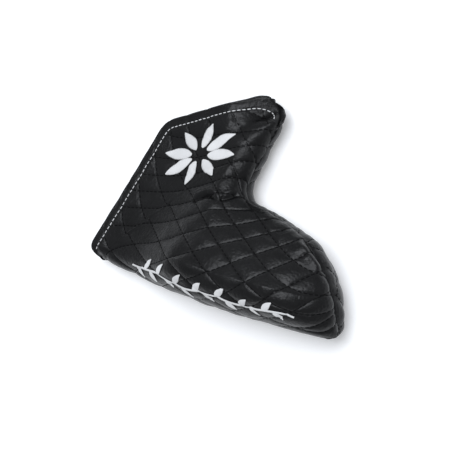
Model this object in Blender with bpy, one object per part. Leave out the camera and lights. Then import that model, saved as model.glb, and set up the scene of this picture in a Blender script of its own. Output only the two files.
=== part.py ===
"""Quilted head cover for a blade putter, lying on its back panel with the mouth closed.

Metres, +Z up. X runs along the sole from heel to toe, Y up the neck, Z from the back panel to the front.
Each wall is a leather-look skin over foam and fleece. Every layer of a wall is the same flat outline,
lifted to its own depth under the quilted face. The front wall is cut along the fold line, which runs
from the heel to the neck's outer corner, so that the lip can turn open about it.
"""
import math

import bmesh
import bpy
import numpy as np
from mathutils import Matrix, Vector

MM = 0.001

# Outline seen from the front, from the heel corner: x along the sole, y up the neck.
SOLE_LENGTH = 155.8 * MM
SOLE_BOW = 3.9 * MM
HEEL_END_X = 1.7 * MM
HEEL_END_Y = 2.0 * MM
TOE_SHOULDER_X = 129.8 * MM
TOE_SHOULDER_Y = 47.5 * MM
TOE_BULGE = 6.7 * MM
TOPLINE_BULGE = 2.4 * MM
THROAT_X = 80.8 * MM
THROAT_Y = 57.5 * MM
THROAT_ROUND = 12.1 * MM
NECK_END_X = 88.3 * MM
NECK_END_Y = 98.4 * MM
PEAK_X = 85.1 * MM
PEAK_Y = 115.1 * MM
PEAK_RADIUS = 12.9 * MM
BEND_X = 19.7 * MM
BEND_Y = 85.7 * MM
BEND_RADIUS = 13.3 * MM
KNEE_X = -3.7 * MM
KNEE_Y = 8.6 * MM
KNEE_RADIUS = 5.4 * MM

# Wall, from the top of the quilting inwards.
QUILT_PUFF = 1.2 * MM
SKIN = 0.9 * MM
FOAM = 2.0 * MM
LINING = 1.0 * MM
LAYER_GAP = 0.4 * MM
SEAM_GAP = 1.2 * MM

# Quilting.
QUILT_SIDE = 15.0 * MM
QUILT_ANGLE = math.radians(33.0)
QUILT_ROLL = 2.6 * MM
PLAIN_RIM = 7.0 * MM

# Height of the front, the seam and the pocket above the face it rests on.
CREST_HEIGHT = 43.0 * MM
CREST_FROM_SOLE = 19.0 * MM
CREST_RUN = 78.0 * MM
CREST_START = 8.0 * MM
FRONT_FALL = 0.42
FOLD_SOFTNESS = 10.0 * MM
NECK_GAP = 9.0 * MM
NECK_SEAM = 13.0 * MM
BLADE_SEAM = 22.0 * MM
TOE_SEAM = 26.0 * MM
TOE_SEAM_RUN = 30.0 * MM
SOLE_SEAM = 16.0 * MM
SEAM_RISE = 50.0 * MM
SEAM_CLIMB = 34.0 * MM
NECK_SHOULDER = 12.0 * MM
BLADE_SHOULDER = 30.0 * MM
HEEL_ROUND = 9.0 * MM
BACK_ROUND = 12.0 * MM
SHOULDER_POWER = 1.6

# Turned hem, closing tapes, thread and fold. The hinge runs over these shares of the fold line.
HEM_TURN = 9.0 * MM
HEM_ROLL = 1.6 * MM
HEM_CURL = math.radians(60.0)
HEM_SET_BACK = 1.0 * MM
HEM_END = 14.0 * MM
STITCH_FROM_EDGE = 3.6 * MM
THREAD = 0.6 * MM
TAPE_LENGTH = 36.0 * MM
TAPE_WIDTH = 13.0 * MM
TAPE = 1.1 * MM
TAPE_FROM_EDGE = 10.5 * MM
TAPE_FROM_BEND = 8.0 * MM
TAPE_SLACK = 0.4 * MM
FOLD_SHIFT = 6.0 * MM
FOLD_GAP = 2.2 * MM
HINGE_FROM = 0.06
HINGE_TO = 0.90
LAYER_TRIM = 14.0 * MM

# Depths that follow from the wall.
SKIN_IN = QUILT_PUFF + SKIN
FOAM_OUT = SKIN_IN + LAYER_GAP
FOAM_IN = FOAM_OUT + FOAM
LINING_OUT = FOAM_IN + LAYER_GAP
WALL = LINING_OUT + LINING
FLAP_OUT = WALL + LAYER_GAP
FLAP_IN = FLAP_OUT + SKIN
TAPE_OUT = WALL + LAYER_GAP
TAPE_IN = TAPE_OUT + TAPE
HEEL_HEIGHT = 2.0 * TAPE_IN + TAPE_SLACK
NECK_HEIGHT = 2.0 * WALL + NECK_GAP

# Grid of the flat outline.
COLUMNS = 16
NECK_ROWS = 3
BLADE_ROWS = 5
LIP_ROWS = 2
OUTLINE_STEPS = 48


def bowed(start, end, bow, steps):
    """Points of a shallow arch from start to end, standing out to the right by bow."""
    start = np.array(start)
    end = np.array(end)
    share = np.linspace(0.0, 1.0, steps + 1)[:, None]
    along = end - start
    right = np.array((along[1], -along[0])) / np.linalg.norm(along)
    return start + along * share + right * bow * 4.0 * share * (1.0 - share)


def filleted(corners, radii, steps):
    """Points of a line through the corners, each inner corner rounded to its radius."""
    points = [np.array(corners[0])]
    for before, corner, after, radius in zip(corners, corners[1:], corners[2:], radii):
        corner = np.array(corner)
        back = np.array(before) - corner
        ahead = np.array(after) - corner
        back = back / np.linalg.norm(back)
        ahead = ahead / np.linalg.norm(ahead)
        half = 0.5 * math.acos(float(np.clip(back @ ahead, -1.0, 1.0)))
        reach = radius / math.tan(half)
        middle = corner + (back + ahead) / np.linalg.norm(back + ahead) * radius / math.sin(half)
        first = corner + back * reach - middle
        last = corner + ahead * reach - middle
        turn = math.pi - 2.0 * half
        for step in range(steps + 1):
            angle = turn * step / steps
            arm = (math.sin(turn - angle) * first + math.sin(angle) * last) / math.sin(turn)
            points.append(middle + arm)
    points.append(np.array(corners[-1]))
    return np.array(points)


def eased_corner(first, second, reach, steps):
    """Two lines that meet at a corner, joined by a smooth curve from reach before it to reach after it."""
    corner = first[-1]
    before = first[np.linalg.norm(first - corner, axis=1) > reach]
    after = second[np.linalg.norm(second - corner, axis=1) > reach]
    share = np.linspace(0.0, 1.0, steps + 1)[1:-1, None]
    curve = before[-1] * (1.0 - share) ** 2 + 2.0 * corner * share * (1.0 - share) + after[0] * share ** 2
    return np.concatenate((before, curve, after))


def resampled(line, share):
    """Points of the line at the given shares of its length."""
    steps = np.linalg.norm(np.diff(line, axis=0), axis=1)
    run = np.concatenate(((0.0,), np.cumsum(steps))) / steps.sum()
    return np.stack([np.interp(share, run, line[:, axis]) for axis in range(2)], axis=-1)


def nearest(points, line):
    """Distance of each point from the line, and the direction away from it to the left."""
    start = line[:-1]
    along = line[1:] - start
    offset = points[:, None, :] - start
    share = np.clip((offset * along).sum(-1) / (along * along).sum(-1), 0.0, 1.0)
    away = offset - along * share[..., None]
    gap = np.linalg.norm(away, axis=-1)
    pick = gap.argmin(axis=1)
    row = np.arange(len(points))
    left = np.stack((-along[:, 1], along[:, 0]), axis=-1)
    left = left / np.linalg.norm(left, axis=-1, keepdims=True)
    corner = np.concatenate((left[:1], left[:-1] + left[1:], left[-1:]))
    corner = corner / np.linalg.norm(corner, axis=-1, keepdims=True)
    share = share[row, pick][:, None]
    plain = corner[pick] * (1.0 - share) + corner[pick + 1] * share
    gap = gap[row, pick]
    away = away[row, pick]
    gap = np.where((away * plain).sum(axis=-1) < 0.0, 0.0, gap)
    away = away / np.maximum(gap, 1e-9)[:, None]
    return gap, np.where((gap < 1e-6)[:, None], plain, away)


def smooth(value):
    """Value clamped to 0 to 1 and eased at both ends."""
    value = np.clip(value, 0.0, 1.0)
    return value * value * (3.0 - 2.0 * value)


def shoulder(distance, width, power):
    """Rise from 0 at the rim to 1 at the shoulder's width."""
    share = np.clip(distance / width, 0.0, 1.0)
    return (1.0 - (1.0 - share) ** power) ** (1.0 / power)


heel_end = (HEEL_END_X, HEEL_END_Y)
toe_end = (SOLE_LENGTH, HEEL_END_Y)
toe_shoulder = (TOE_SHOULDER_X, TOE_SHOULDER_Y)
throat = (THROAT_X, THROAT_Y)
neck_end = (NECK_END_X, NECK_END_Y)

sole = bowed(heel_end, toe_end, SOLE_BOW, OUTLINE_STEPS)
toe = bowed(toe_end, toe_shoulder, TOE_BULGE, OUTLINE_STEPS // 2)
topline = bowed(toe_shoulder, throat, TOPLINE_BULGE, OUTLINE_STEPS // 2)
neck = bowed(throat, neck_end, 0.0, OUTLINE_STEPS // 2)
hem = filleted(
    (neck_end, (PEAK_X, PEAK_Y), (BEND_X, BEND_Y), (KNEE_X, KNEE_Y), heel_end),
    (PEAK_RADIUS, BEND_RADIUS, KNEE_RADIUS),
    8,
)
upper_rim = eased_corner(topline, neck, THROAT_ROUND, 12)[::-1]
rim_seam = np.concatenate((toe, upper_rim[::-1][1:]))
rim_steps = np.linalg.norm(np.diff(upper_rim, axis=0), axis=1)
throat_index = int(np.linalg.norm(upper_rim - throat, axis=1).argmin())
throat_share = rim_steps[:throat_index].sum() / rim_steps.sum()
outline = np.concatenate((sole, rim_seam[1:], hem[1:]))

fold_start = np.array(heel_end)
fold_along = np.array(neck_end) - fold_start
fold_length = float(np.linalg.norm(fold_along))
fold_along = fold_along / fold_length
fold_across = np.array((fold_along[1], -fold_along[0]))
rolled_hem = hem - fold_across * HEM_ROLL * math.sin(HEM_CURL)
covered = np.concatenate((outline, rolled_hem))
middle = 0.5 * (covered.min(axis=0) + covered.max(axis=0))


def fold_place(points):
    """Distance past the fold line toward the toe, and the share along it from the heel."""
    offset = points - fold_start
    return offset @ fold_across, offset @ fold_along / fold_length


def lip_height(points):
    past, share = fold_place(points)
    return HEEL_HEIGHT + (NECK_HEIGHT - HEEL_HEIGHT) * smooth((share - 0.5) / 0.5)


def top_height(points, from_sole):
    """Height of the front face, before it rounds down to the seam and the sole."""
    lip = lip_height(points)
    run = smooth((points[:, 0] - HEEL_END_X) / CREST_RUN)
    crest = CREST_START + (CREST_HEIGHT - CREST_START) * run
    rise = crest - FRONT_FALL * np.maximum(from_sole - CREST_FROM_SOLE, 0.0) - lip
    return lip + 0.5 * (rise + np.sqrt(rise * rise + FOLD_SOFTNESS * FOLD_SOFTNESS))


def seam_height(points, from_sole):
    """Height at which the front and back walls meet round the rim."""
    past, share = fold_place(points)
    rise = smooth(past / SEAM_RISE)
    heel = 0.5 * HEEL_HEIGHT
    upper = heel + (NECK_SEAM - heel) * smooth(share)
    toward_toe = smooth((points[:, 0] - TOE_SHOULDER_X) / TOE_SEAM_RUN + 0.8)
    upper = upper + (BLADE_SEAM + (TOE_SEAM - BLADE_SEAM) * toward_toe - upper) * rise
    lower = heel + (SOLE_SEAM - heel) * rise
    return lower + (upper - lower) * smooth(from_sole / SEAM_CLIMB)


def wall_points(points, depth, front):
    """Places of flat outline points on the wall, at a depth below the top of its quilting."""
    points = np.asarray(points, dtype=float)
    depth = np.asarray(depth, dtype=float)
    from_sole, off_sole = nearest(points, sole)
    from_seam, off_seam = nearest(points, rim_seam)
    past, share = fold_place(points)
    rise = smooth(past / SEAM_RISE)
    seam = seam_height(points, from_sole)
    if front:
        sole_width = HEEL_ROUND + (CREST_FROM_SOLE - HEEL_ROUND) * rise
        seam_width = NECK_SHOULDER + (BLADE_SHOULDER - NECK_SHOULDER) * rise
        lift = shoulder(from_sole, sole_width, 2.0) * shoulder(from_seam, seam_width, SHOULDER_POWER)
        base = seam + 0.5 * SEAM_GAP
        height = base + (top_height(points, from_sole) - depth - base) * lift
    else:
        sole_width = np.full(len(points), BACK_ROUND)
        seam_width = np.full(len(points), BACK_ROUND)
        lift = shoulder(from_sole, sole_width, 2.0) * shoulder(from_seam, seam_width, 2.0)
        base = seam - 0.5 * SEAM_GAP
        height = base + (depth - base) * lift
    draw_sole = depth * np.clip(1.0 - from_sole / sole_width, 0.0, 1.0)
    draw_seam = depth * np.clip(1.0 - from_seam / seam_width, 0.0, 1.0)
    flat = points + off_sole * draw_sole[:, None] + off_seam * draw_seam[:, None] - middle
    return np.column_stack((flat, height))


def row_shares():
    """Shares along the sole and the upper rim at which the rows past the fold line stand."""
    along_neck = np.linspace(0.0, throat_share, NECK_ROWS + 1)
    along_blade = np.sin(0.5 * math.pi * np.linspace(0.0, 1.0, BLADE_ROWS + 1))[1:]
    return np.concatenate((along_neck, throat_share + (1.0 - throat_share) * along_blade))


def column_shares():
    """Shares across the rows, from the sole or heel to the upper rim, closer together at both ends."""
    even = np.linspace(0.0, 1.0, COLUMNS + 1)
    return 0.35 * even + 0.65 * (0.5 - 0.5 * np.cos(math.pi * even))


def flat_grid():
    """Flat mesh of the outline in rows from the hem over the fold line to the toe."""
    across = column_shares()
    edge = resampled(hem[::-1], across)
    fold = fold_start + np.outer(across * fold_length, fold_along)
    inward = fold - edge
    reach = np.linalg.norm(inward, axis=1)
    inward = inward / np.maximum(reach, 1e-9)[:, None]
    band = edge + inward * np.minimum(HEM_TURN, 0.5 * reach)[:, None]
    rows = [edge, edge + inward * np.minimum(HEM_SET_BACK, 0.2 * reach)[:, None]]
    for step in range(LIP_ROWS):
        rows.append(band + (fold - band) * step / LIP_ROWS)
    end = resampled(toe, across)
    toe_lean = end - (end[0] + np.outer(across, end[-1] - end[0]))
    for share in row_shares():
        low = resampled(sole, share)
        high = resampled(upper_rim, share)
        rows.append(low + np.outer(across, high - low) + toe_lean * share)
    flat = bmesh.new()
    verts = [[flat.verts.new((place[0], place[1], 0.0)) for place in row] for row in rows]
    for one, two in zip(verts, verts[1:]):
        for low, high, far_high, far_low in zip(one, one[1:], two[1:], two):
            flat.faces.new((low, far_low, far_high, high))
    bmesh.ops.remove_doubles(flat, verts=flat.verts[:], dist=1e-5)
    bmesh.ops.dissolve_degenerate(flat, edges=flat.edges[:], dist=1e-6)
    bmesh.ops.recalc_face_normals(flat, faces=flat.faces[:])
    return flat


def line_gap(points, line):
    """Distance of each point from the line, on either side of it."""
    start = line[:-1]
    along = line[1:] - start
    offset = points[:, None, :] - start
    share = np.clip((offset * along).sum(-1) / (along * along).sum(-1), 0.0, 1.0)
    return np.linalg.norm(offset - along * share[..., None], axis=-1).min(axis=1)


def edge_distance(points):
    """Distance of each point from the nearest edge of the outline."""
    return np.min([line_gap(points, line) for line in (sole, rim_seam, hem)], axis=0)


def cut_quilt_lines(flat):
    """Cut the flat mesh along both families of quilting lines and clear the grid inside the diamonds."""
    pitch = QUILT_SIDE * math.sin(2.0 * QUILT_ANGLE)
    lined = flat.edges.layers.int.new("quilt_line")
    for angle in (QUILT_ANGLE, -QUILT_ANGLE):
        normal = Vector((-math.sin(angle), math.cos(angle), 0.0))
        reach = np.array([normal.xy.dot(place) for place in outline.tolist()])
        for index in range(math.ceil(reach.min() / pitch), math.floor(reach.max() / pitch) + 1):
            centres = np.array([face.calc_center_median().xy[:] for face in flat.faces])
            deep = edge_distance(centres) > PLAIN_RIM
            faces = [face for face, inside in zip(flat.faces, deep) if inside]
            edges = {edge for face in faces for edge in face.edges}
            verts = {vert for face in faces for vert in face.verts}
            cut = bmesh.ops.bisect_plane(
                flat,
                geom=list(verts) + list(edges) + faces,
                dist=2e-5,
                plane_co=normal * pitch * index,
                plane_no=normal,
            )
            for piece in cut["geom_cut"]:
                if isinstance(piece, bmesh.types.BMEdge):
                    piece[lined] = 1
    loose = [edge for edge in flat.edges if not edge[lined] and not edge.is_boundary]
    centres = np.array([[face.calc_center_median().xy[:] for face in edge.link_faces] for edge in loose])
    inside = edge_distance(centres.reshape(-1, 2)).reshape(-1, 2).min(axis=1) > PLAIN_RIM
    clear = [edge for edge, deep in zip(loose, inside) if deep]
    bmesh.ops.dissolve_edges(flat, edges=clear, use_verts=True)
    inner = [vert for vert in flat.verts if not vert.is_boundary]
    bmesh.ops.remove_doubles(flat, verts=inner, dist=0.04 * QUILT_SIDE)


def whole_diamonds(flat):
    """Faces of the flat mesh that are whole diamonds, or nearly so, clear of the rim and the hem."""
    cell = QUILT_SIDE * QUILT_SIDE * math.sin(2.0 * QUILT_ANGLE)
    found = []
    for face in flat.faces:
        full = len(face.verts) > 3 and face.calc_area() > 0.7 * cell
        if full and all(loop.is_convex for loop in face.loops):
            ring = np.array([vert.co.xy[:] for vert in face.verts])
            if edge_distance(ring).min() > 0.5 * PLAIN_RIM and line_gap(ring, hem).min() > PLAIN_RIM:
                found.append(face)
    return found


def keep_beyond(flat, origin, normal):
    """Keep the part of the flat mesh that the normal points to."""
    bmesh.ops.bisect_plane(
        flat,
        geom=flat.verts[:] + flat.edges[:] + flat.faces[:],
        dist=1e-6,
        plane_co=(*origin, 0.0),
        plane_no=(*normal, 0.0),
        clear_inner=True,
    )


def quilted_flat():
    """Flat mesh that every layer starts from: whole diamonds, and triangles round them."""
    flat = flat_grid()
    cut_quilt_lines(flat)
    whole = whole_diamonds(flat)
    bmesh.ops.triangulate(flat, faces=[face for face in flat.faces if face not in whole])
    return flat


def wall_flat(half):
    """Copy of the flat mesh, whole or of one side of the fold."""
    flat = every_layer.copy()
    if half == "lip":
        keep_beyond(flat, fold_start - fold_across * (FOLD_SHIFT + 0.5 * FOLD_GAP), -fold_across)
    if half == "pocket":
        keep_beyond(flat, fold_start - fold_across * (FOLD_SHIFT - 0.5 * FOLD_GAP), fold_across)
    whole = whole_diamonds(flat)
    bmesh.ops.triangulate(flat, faces=[face for face in flat.faces if face not in whole])
    return flat


def material(name, colour, roughness):
    made = bpy.data.materials.new(name)
    made.use_nodes = True
    shader = made.node_tree.nodes["Principled BSDF"]
    shader.inputs["Base Color"].default_value = (*colour, 1.0)
    shader.inputs["Roughness"].default_value = roughness
    return made


def add_object(name, mesh, surface):
    mesh.materials.append(surface)
    made = bpy.data.objects.new(name, mesh)
    parts.objects.link(made)
    return made


def close_solid(name, flat, outer, inner, surface):
    """Solid between two places of the same flat mesh, with walls round its edge."""
    solid = bmesh.new()
    top = [solid.verts.new(place) for place in outer]
    bottom = [solid.verts.new(place) for place in inner]
    flat.verts.index_update()
    for face in flat.faces:
        ring = [vert.index for vert in face.verts]
        solid.faces.new([top[index] for index in ring])
        solid.faces.new([bottom[index] for index in reversed(ring)])
    for edge in flat.edges:
        if edge.is_boundary:
            one, two = (vert.index for vert in edge.verts)
            solid.faces.new((top[one], top[two], bottom[two], bottom[one]))
    bmesh.ops.recalc_face_normals(solid, faces=solid.faces[:])
    if solid.calc_volume(signed=True) < 0.0:
        bmesh.ops.reverse_faces(solid, faces=solid.faces[:])
    mesh = bpy.data.meshes.new(name)
    solid.to_mesh(mesh)
    solid.free()
    return add_object(name, mesh, surface)


def layer(name, half, front, depth, thickness, surface):
    """Plain layer of a wall, set back from the hem."""
    flat = wall_flat(half)
    if half == "pocket":
        keep_beyond(flat, (NECK_END_X, NECK_END_Y - LAYER_TRIM), (0.0, -1.0))
    centres = np.array([face.calc_center_median().xy[:] for face in flat.faces])
    past = fold_place(centres)[0]
    points = np.array([vert.co.xy[:] for vert in flat.verts])
    on_hem = nearest(points, hem)[0] < 0.1 * HEM_SET_BACK
    flat.verts.index_update()
    touching = [any(on_hem[vert.index] for vert in face.verts) for face in flat.faces]
    outside = np.array(touching) & (past < 0.0)
    for end in (heel_end, neck_end):
        outside |= (np.linalg.norm(centres - end, axis=1) < HEM_END) & (past < 0.0)
    loose = [face for face, out in zip(flat.faces, outside) if out]
    bmesh.ops.delete(flat, geom=loose, context="FACES")
    bmesh.ops.poke(flat, faces=whole_diamonds(flat))
    points = np.array([vert.co.xy[:] for vert in flat.verts])
    outer = wall_points(points, np.full(len(points), depth), front)
    inner = wall_points(points, np.full(len(points), depth + thickness), front)
    made = close_solid(name, flat, outer, inner, surface)
    flat.free()
    return made


def skin(name, half, front, surface):
    """Quilted skin of a wall, with its hem turned in over the edge."""
    flat = wall_flat(half)
    stage = flat.verts.layers.int.new("hem_stage")
    raised = flat.verts.layers.int.new("raised")
    whole = whole_diamonds(flat)
    bmesh.ops.inset_individual(flat, faces=whole, thickness=0.0)
    shrink = 1.0 - 2.0 * QUILT_ROLL / (QUILT_SIDE * math.sin(2.0 * QUILT_ANGLE))
    for face in whole:
        about = Matrix.Translation(-face.calc_center_median_weighted())
        bmesh.ops.scale(flat, verts=face.verts[:], vec=(shrink, shrink, 1.0), space=about)
    domes = bmesh.ops.poke(flat, faces=whole)["faces"]
    for face in domes:
        for vert in face.verts:
            vert[raised] = 1
    if half != "pocket":
        edges = [edge for edge in flat.edges if edge.is_boundary]
        centres = np.array([((edge.verts[0].co + edge.verts[1].co) * 0.5).xy[:] for edge in edges])
        on_hem = nearest(centres, hem)[0] < 0.2 * HEM_END
        wide = fold_place(centres)[0] < -HEM_END
        turned = [edge for edge, near in zip(edges, on_hem & wide) if near]
        for number in range(1, 5):
            grown = bmesh.ops.extrude_edge_only(flat, edges=turned)["geom"]
            turned = [piece for piece in grown if isinstance(piece, bmesh.types.BMEdge)]
            turned = [edge for edge in turned if edge.is_boundary]
            for piece in grown:
                if isinstance(piece, bmesh.types.BMVert):
                    piece[stage] = number
            turned = [edge for edge in turned if all(vert[stage] == number for vert in edge.verts)]
    bmesh.ops.triangulate(flat, faces=flat.faces[:])
    points = np.array([vert.co.xy[:] for vert in flat.verts])
    stages = np.array([vert[stage] for vert in flat.verts])
    depth = np.where([vert[raised] for vert in flat.verts], 0.0, QUILT_PUFF)
    fold = fold_start + np.outer(fold_place(points)[1] * fold_length, fold_along)
    inward = fold - points
    reach = np.linalg.norm(inward, axis=1)
    inward = inward / np.maximum(reach, 1e-9)[:, None]
    roll = HEM_ROLL * smooth(reach / (4.0 * HEM_ROLL))
    centre = 0.5 * (QUILT_PUFF + FLAP_IN)
    sides = []
    for away in (0.0, SKIN):
        half_height = centre - QUILT_PUFF - away
        shift = np.zeros(len(points))
        level = depth + away
        for number, angle in ((1, HEM_CURL), (2, math.pi - HEM_CURL)):
            level = np.where(stages == number, centre - half_height * math.cos(angle), level)
            shift = np.where(stages == number, (np.minimum(away, roll) - roll) * math.sin(angle), shift)
        level = np.where(stages >= 3, FLAP_IN - away, level)
        shift = np.where(stages == 4, np.minimum(HEM_TURN, 0.5 * reach), shift)
        sides.append(wall_points(points + inward * shift[:, None], level, front))
    made = close_solid(name, flat, sides[0], sides[1], surface)
    flat.free()
    return made


def lip_hinge(name):
    """Empty on the line that the lip turns about, just over the face of the fold."""
    share = np.array((HINGE_FROM, HINGE_TO))
    line = fold_start - fold_across * FOLD_SHIFT + np.outer(share * fold_length, fold_along)
    ends = wall_points(line, np.zeros(len(line)), True)
    made = bpy.data.objects.new(name, None)
    made.location = ends.mean(axis=0)
    made.empty_display_size = 0.5 * float(np.linalg.norm(ends[1] - ends[0]))
    parts.objects.link(made)
    return made


def hang(pieces, hinge):
    """Parent the pieces to the hinge without moving them."""
    for piece in pieces:
        piece.parent = hinge
        piece.matrix_parent_inverse = Matrix.Translation(-hinge.location)


def thread_tube(name, places, surface):
    """One sewing thread as a round tube through the places."""
    curve = bpy.data.curves.new(name, "CURVE")
    curve.dimensions = "3D"
    curve.bevel_depth = 0.5 * THREAD
    curve.bevel_resolution = 0
    curve.use_fill_caps = True
    line = curve.splines.new("POLY")
    line.points.add(len(places) - 1)
    for point, place in zip(line.points, places):
        point.co = (*place, 1.0)
    drawn = bpy.data.objects.new(name, curve)
    parts.objects.link(drawn)
    mesh = bpy.data.meshes.new_from_object(drawn)
    bpy.data.objects.remove(drawn)
    solid = bmesh.new()
    solid.from_mesh(mesh)
    bmesh.ops.remove_doubles(solid, verts=solid.verts[:], dist=1e-6)
    bmesh.ops.recalc_face_normals(solid, faces=solid.faces[:])
    solid.to_mesh(mesh)
    solid.free()
    mesh.materials.clear()
    mesh.name = name
    mesh.shade_smooth()
    return add_object(name, mesh, surface)


def hem_stitch(name, front, surface):
    """Topstitching along the hem, just above the face of its turned band."""
    share = np.linspace(0.09, 0.93, 64)
    edge = resampled(hem[::-1], share)
    ahead = resampled(hem[::-1], share + 0.002) - edge
    inward = np.stack((ahead[:, 1], -ahead[:, 0]), axis=-1)
    inward = inward / np.linalg.norm(inward, axis=1, keepdims=True)
    depth = QUILT_PUFF - 0.5 * LAYER_GAP - 0.5 * THREAD
    places = wall_points(edge + inward * STITCH_FROM_EDGE, np.full(len(share), depth), front)
    return thread_tube(name, places, surface)


def seam_thread(name, surface):
    """Closing seam between the front and back walls, sunk in the gap between their rims."""
    low = resampled(sole, row_shares())
    round_toe = resampled(toe, column_shares())[1:-1]
    high = resampled(upper_rim, row_shares())[::-1]
    line = np.concatenate((low, round_toe, high))[1:-1]
    lower = wall_points(line, np.full(len(line), 0.5 * FOAM_OUT), False)
    upper = wall_points(line, np.full(len(line), 0.5 * FOAM_OUT), True)
    return thread_tube(name, 0.5 * (lower + upper), surface)


def tape(name, front, surface):
    """Closing tape on the lining along the heel side of the mouth."""
    bend = np.array((BEND_X, BEND_Y))
    knee = np.array((KNEE_X, KNEE_Y))
    down = (knee - bend) / np.linalg.norm(knee - bend)
    inward = np.array((-down[1], down[0]))
    corner = bend + down * TAPE_FROM_BEND + inward * TAPE_FROM_EDGE
    flat = bmesh.new()
    bmesh.ops.create_grid(flat, x_segments=5, y_segments=2, size=0.5)
    points = np.array([vert.co.xy[:] for vert in flat.verts]) + 0.5
    points = corner + np.outer(points[:, 0] * TAPE_LENGTH, down) + np.outer(points[:, 1] * TAPE_WIDTH, inward)
    outer = wall_points(points, np.full(len(points), TAPE_OUT), front)
    inner = wall_points(points, np.full(len(points), TAPE_IN), front)
    made = close_solid(name, flat, outer, inner, surface)
    flat.free()
    return made


for leftover in list(bpy.data.objects):
    bpy.data.objects.remove(leftover)
parts = bpy.data.collections.new("putter_head_cover")
bpy.context.scene.collection.children.link(parts)

leather = material("quilted_leather", (0.012, 0.012, 0.013), 0.38)
padding = material("foam_padding", (0.30, 0.30, 0.31), 0.95)
fleece = material("fleece", (0.035, 0.035, 0.038), 1.0)
thread_white = material("white_thread", (0.82, 0.81, 0.79), 0.6)
thread_black = material("black_thread", (0.015, 0.015, 0.015), 0.6)
hooks = material("hook_tape", (0.020, 0.020, 0.021), 0.55)
loops = material("loop_tape", (0.018, 0.018, 0.018), 0.95)

every_layer = quilted_flat()
skin("back_outer_panel", None, False, leather)
layer("back_foam_layer", None, False, FOAM_OUT, FOAM, padding)
layer("back_fleece_lining", None, False, LINING_OUT, LINING, fleece)
skin("front_outer_panel", "pocket", True, leather)
layer("front_foam_layer", "pocket", True, FOAM_OUT, FOAM, padding)
layer("front_fleece_lining", "pocket", True, LINING_OUT, LINING, fleece)
lip_pieces = [
    skin("front_lip_panel", "lip", True, leather),
    layer("front_lip_foam", "lip", True, FOAM_OUT, FOAM, padding),
    layer("front_lip_lining", "lip", True, LINING_OUT, LINING, fleece),
    tape("hook_tape", True, hooks),
    hem_stitch("front_hem_topstitch", True, thread_white),
]
tape("loop_tape", False, loops)
hem_stitch("back_hem_topstitch", False, thread_white)
seam_thread("edge_seam_thread", thread_black)
hang(lip_pieces, lip_hinge("front_lip_hinge"))
every_layer.free()
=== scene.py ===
import math
import bmesh
import bpy
import numpy as np
from mathutils import Matrix, Vector, noise
from mathutils.bvhtree import BVHTree
from mathutils.kdtree import KDTree


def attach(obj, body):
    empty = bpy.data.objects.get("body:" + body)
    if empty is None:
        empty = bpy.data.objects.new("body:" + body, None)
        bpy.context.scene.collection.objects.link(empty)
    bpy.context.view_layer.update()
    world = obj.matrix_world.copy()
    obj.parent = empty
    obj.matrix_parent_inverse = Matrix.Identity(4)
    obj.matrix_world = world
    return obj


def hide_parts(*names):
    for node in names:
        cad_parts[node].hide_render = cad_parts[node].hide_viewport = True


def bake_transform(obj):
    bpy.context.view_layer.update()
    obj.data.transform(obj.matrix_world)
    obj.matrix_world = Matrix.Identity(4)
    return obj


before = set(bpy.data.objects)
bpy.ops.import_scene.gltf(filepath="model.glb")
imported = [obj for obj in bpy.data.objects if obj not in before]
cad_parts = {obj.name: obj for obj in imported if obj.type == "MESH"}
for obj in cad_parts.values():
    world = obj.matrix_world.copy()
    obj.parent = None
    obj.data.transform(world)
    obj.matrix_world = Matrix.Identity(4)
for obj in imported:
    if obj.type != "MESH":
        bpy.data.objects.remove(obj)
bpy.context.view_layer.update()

toMetres = 0.001  # everything below is in millimetres until a mesh is made
print("frame loaded,", len(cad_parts), "nodes")

# outline of the cover seen from the front, from the heel corner
outlineSizes = {
    "soleLength": 155.8, "soleBow": 3.9, "heelEnd": (1.7, 2.0),
    "toeShoulder": (129.8, 47.5), "toeBulge": 6.7, "toplineBulge": 2.4,
    "throat": (80.8, 57.5), "throatRound": 12.1, "neckEnd": (88.3, 98.4),
    "peak": (85.1, 115.1), "peakRadius": 12.9, "bend": (19.7, 85.7), "bendRadius": 13.3,
    "knee": (-3.7, 8.6), "kneeRadius": 5.4,
}
# heights of the padded form above the face it lies on
formSizes = {
    "crestHeight": 43.0, "crestFromSole": 19.0, "crestRun": 78.0, "crestStart": 8.0, "frontFall": 0.42,
    "foldSoftness": 10.0, "heelHeight": 15.2, "neckHeight": 20.8, "neckSeam": 13.0, "bladeSeam": 22.0,
    "toeSeam": 26.0, "toeSeamRun": 30.0, "soleSeam": 16.0, "seamRise": 50.0, "seamClimb": 34.0,
    "neckShoulder": 12.0, "bladeShoulder": 30.0, "heelRound": 9.0, "backRound": 12.0, "shoulderPower": 1.6,
    "seamGap": 0.16, "mouthPress": 12.0, "mouthRun": 12.0, "mouthShut": 10.0, "mouthDrop": 5.0,
    "neckRiseFrom": 0.5, "mouthDropFrom": 0.75, "toeSeamLead": 0.8,
    "toeCut": 3.2, "toeCutReach": 10.0, "toeCutWay": (-0.865, 0.5),
}
hemSizes = {
    "turn": 9.0, "turnShare": 0.6, "roll": 1.6, "curl": math.radians(60.0), "flapDepth": 7.1, "bandDepth": 0.7,
    "leadRun": 8.0, "taper": 7.0, "shutFrom": 8.0, "shutRun": 20.0, "shutPast": 8.0, "flange": 3.2,
    "rollCount": 10, "flapCount": 6,
}


def smooth(value):
    value = np.clip(value, 0.0, 1.0)
    return value * value * (3.0 - 2.0 * value)


def unit(vectors):
    return vectors / np.maximum(np.linalg.norm(vectors, axis=-1, keepdims=True), 1e-9)


def mix(low, high, share):
    return low + (high - low) * share


def bell(distance, width, power=2):
    return np.exp(-((distance / width) ** power))


def leftOf(vectors):
    return np.stack((-vectors[..., 1], vectors[..., 0]), axis=-1)


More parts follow.
